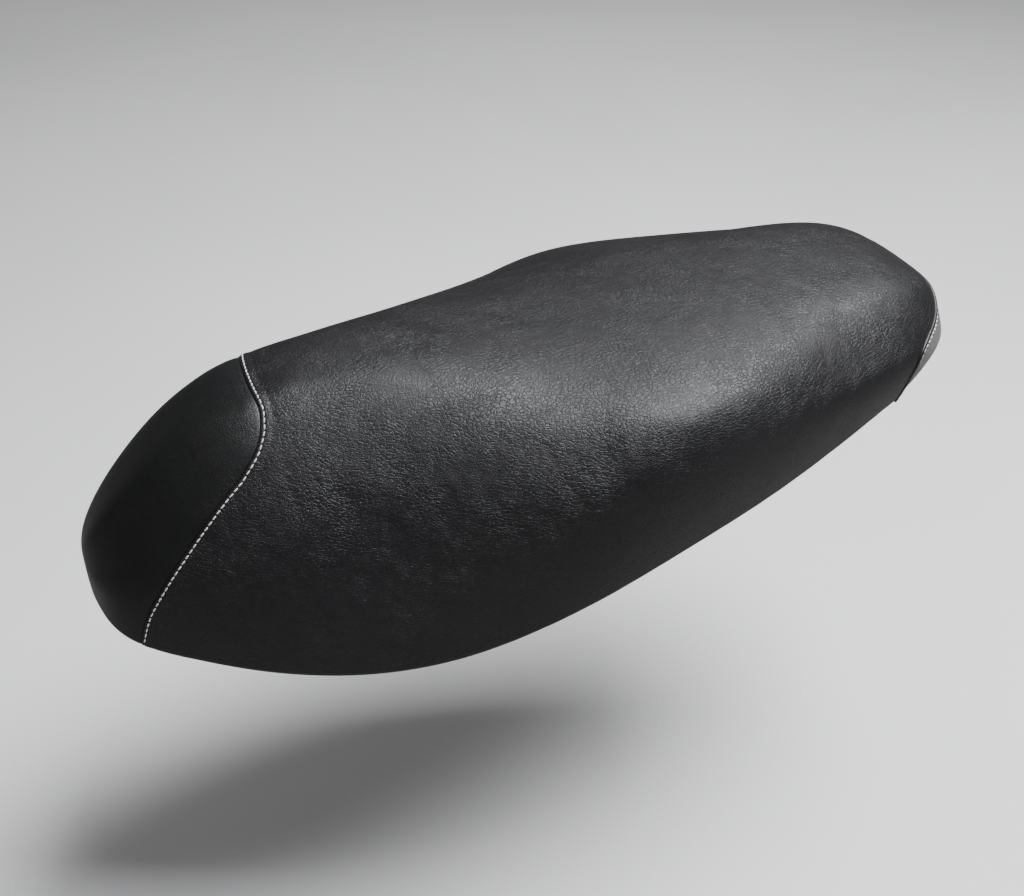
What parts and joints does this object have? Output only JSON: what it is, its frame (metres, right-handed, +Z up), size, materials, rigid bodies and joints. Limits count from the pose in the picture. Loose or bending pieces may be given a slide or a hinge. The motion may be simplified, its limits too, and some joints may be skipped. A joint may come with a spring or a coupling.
{
  "type": "motorcycle seat",
  "caption": "Long hinged two-up scooter seat: stitched vinyl cover over foam on a ribbed pan, with a front hinge, rear latch striker and rubber pads.",
  "frame": {"origin": "centre of the two frame bolt holes, on the underside of the front hinge's frame bracket", "axes": "+Z up, -Y towards the seat's nose and +Y towards its tail, +X to the rider's left; seat closed, as mounted, with its lower edge rising to the rear"},
  "size_m": [0.3004, 0.6863, 0.1994],
  "materials": {
    "vinyl_main": "satin grained vinyl",
    "vinyl_nose": "smooth satin vinyl",
    "vinyl_tail": "textured grey vinyl",
    "thread": "twisted polyester thread",
    "piping": "satin vinyl welt",
    "foam": "open-cell moulded foam",
    "pan": "moulded polypropylene",
    "staple": "galvanised wire",
    "zinc_steel": "zinc plated",
    "black_steel": "black coated",
    "spring_steel": "dark spring steel",
    "yellow_zinc": "yellow passivated",
    "brass": "knurled brass",
    "nylon": "natural nylon",
    "rubber": "matt black rubber"
  },
  "bodies": {
    "hinge_base": {"hinge_frame_bracket": "zinc_steel", "hinge_pin": "zinc_steel", "hinge_pin_clip": "spring_steel"},
    "seat": {"seat_pan": "pan", "foam_cushion": "foam", "cover_main_panel": "vinyl_main", "cover_nose_panel": "vinyl_nose", "cover_tail_panel": "vinyl_tail", "nose_stitching": "thread", "tail_piping": "piping", "tail_stitching": "thread", "rim_staples": "staple", "hinge_seat_bracket": "black_steel", "hinge_bushes": "nylon", "hinge_screws": "yellow_zinc", "hinge_inserts": "brass", "striker_plate": "black_steel", "striker_hoop": "zinc_steel", "striker_screws": "yellow_zinc", "striker_inserts": "brass", "bumpers_front": "rubber", "bumpers_middle": "rubber", "bumpers_rear": "rubber", "bumpers_tail": "rubber", "document_strap": "rubber", "strap_rivets": "zinc_steel"}
  },
  "joints": [
    {"name": "seat_hinge", "type": "hinge", "parent": "hinge_base", "child": "seat", "pos_m": [0, -0.004, 0.023], "axis": [1, 0, 0], "range_deg": [0, 75]}
  ]
}
